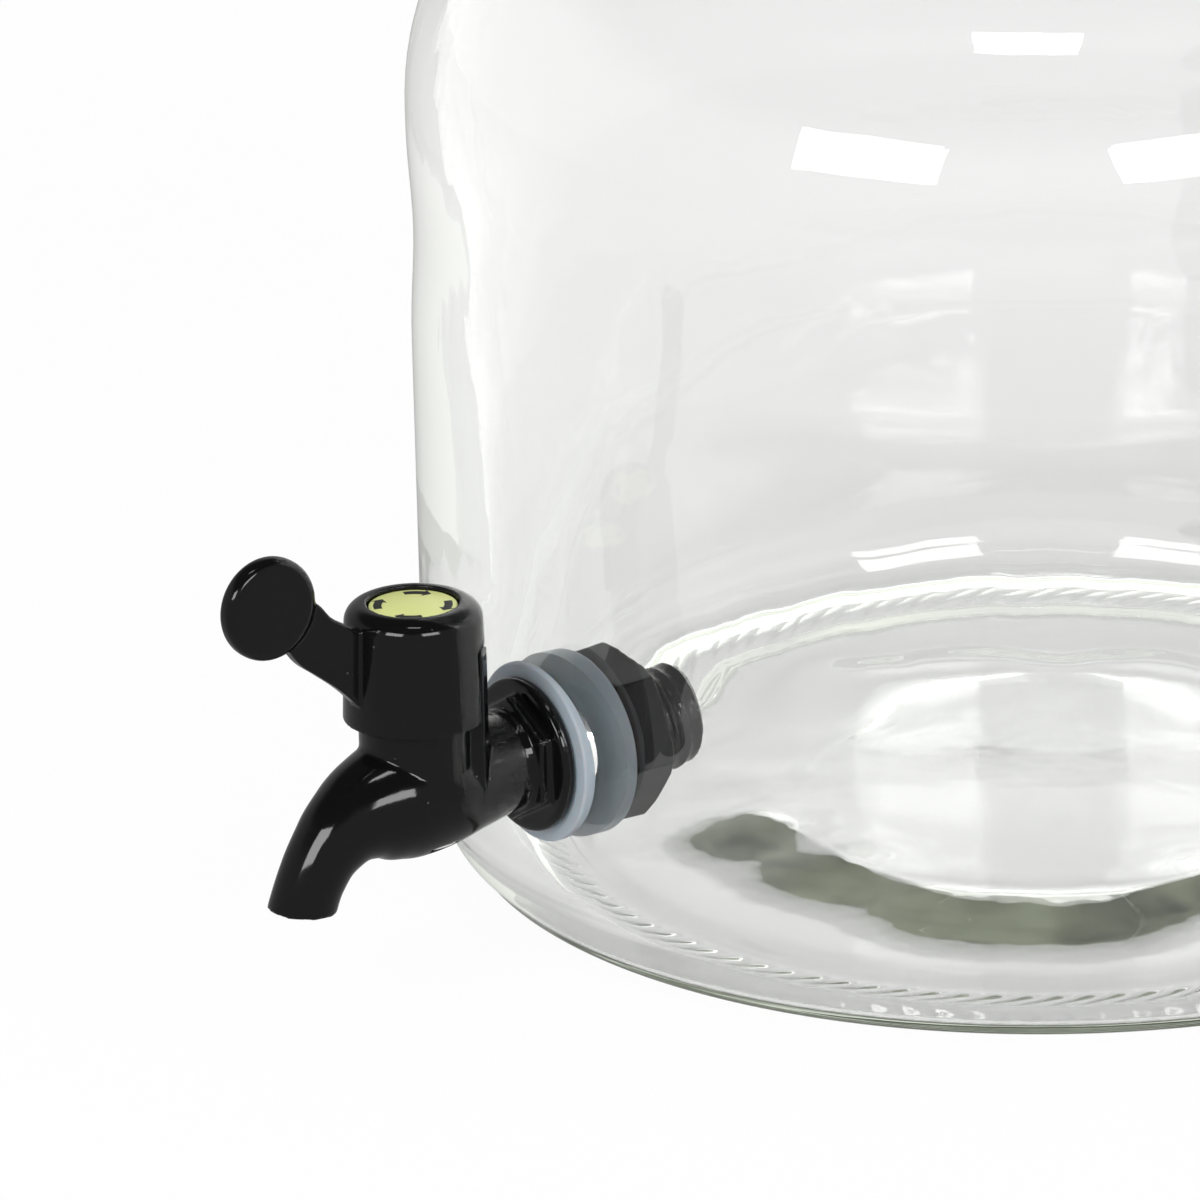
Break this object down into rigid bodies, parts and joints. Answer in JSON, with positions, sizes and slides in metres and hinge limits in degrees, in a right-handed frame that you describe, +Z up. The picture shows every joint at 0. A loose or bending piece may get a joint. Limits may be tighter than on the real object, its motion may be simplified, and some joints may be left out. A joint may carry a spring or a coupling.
{
  "type": "drink dispenser",
  "caption": "Clear glass drink dispenser jar with a drop-in knobbed glass lid and a quarter-turn black plastic tap clamped through the wall by washers and a lock nut.",
  "frame": {"origin": "on the surface the jar stands on, under the middle of the box that holds the jar and the tap; the jar's own axis is 29.25 mm behind it, along +Y", "axes": "+Z up along the jar's axis, the tap points along -Y, +X to the right when the tap is looked at from the front"},
  "size_m": [0.2056, 0.264, 0.2351],
  "materials": {
    "glass": "clear pressed glass, faintly green where thick",
    "black_plastic": "glossy black injection moulding",
    "nut_plastic": "duller black moulding",
    "silicone": "translucent bluish silicone",
    "rubber": "black O-ring rubber",
    "plug_plastic": "natural white moulding",
    "screw_steel": "plain steel",
    "label": "printed yellow-green disc with plain arrows"
  },
  "bodies": {
    "dispenser": {"glass_jar": "glass", "tap_body": "black_plastic", "outer_washer": "silicone", "inner_washer": "silicone", "lock_nut": "nut_plastic"},
    "handle": {"tap_handle": "black_plastic", "valve_plug": "plug_plastic", "upper_o_ring": "rubber", "lower_o_ring": "rubber", "handle_screw": "screw_steel", "label_disc": "label"},
    "lid": {"glass_lid": "glass", "lid_seal": "silicone"}
  },
  "joints": [
    {"name": "handle_turn", "type": "hinge", "parent": "dispenser", "child": "handle", "pos_m": [0, -0.09655, 0.0482], "axis": [0, 0, -1], "range_deg": [0, 90]},
    {"name": "lid_lift", "type": "slide", "parent": "dispenser", "child": "lid", "axis": [0, 0, 1], "range_m": [0, 0.09]}
  ]
}
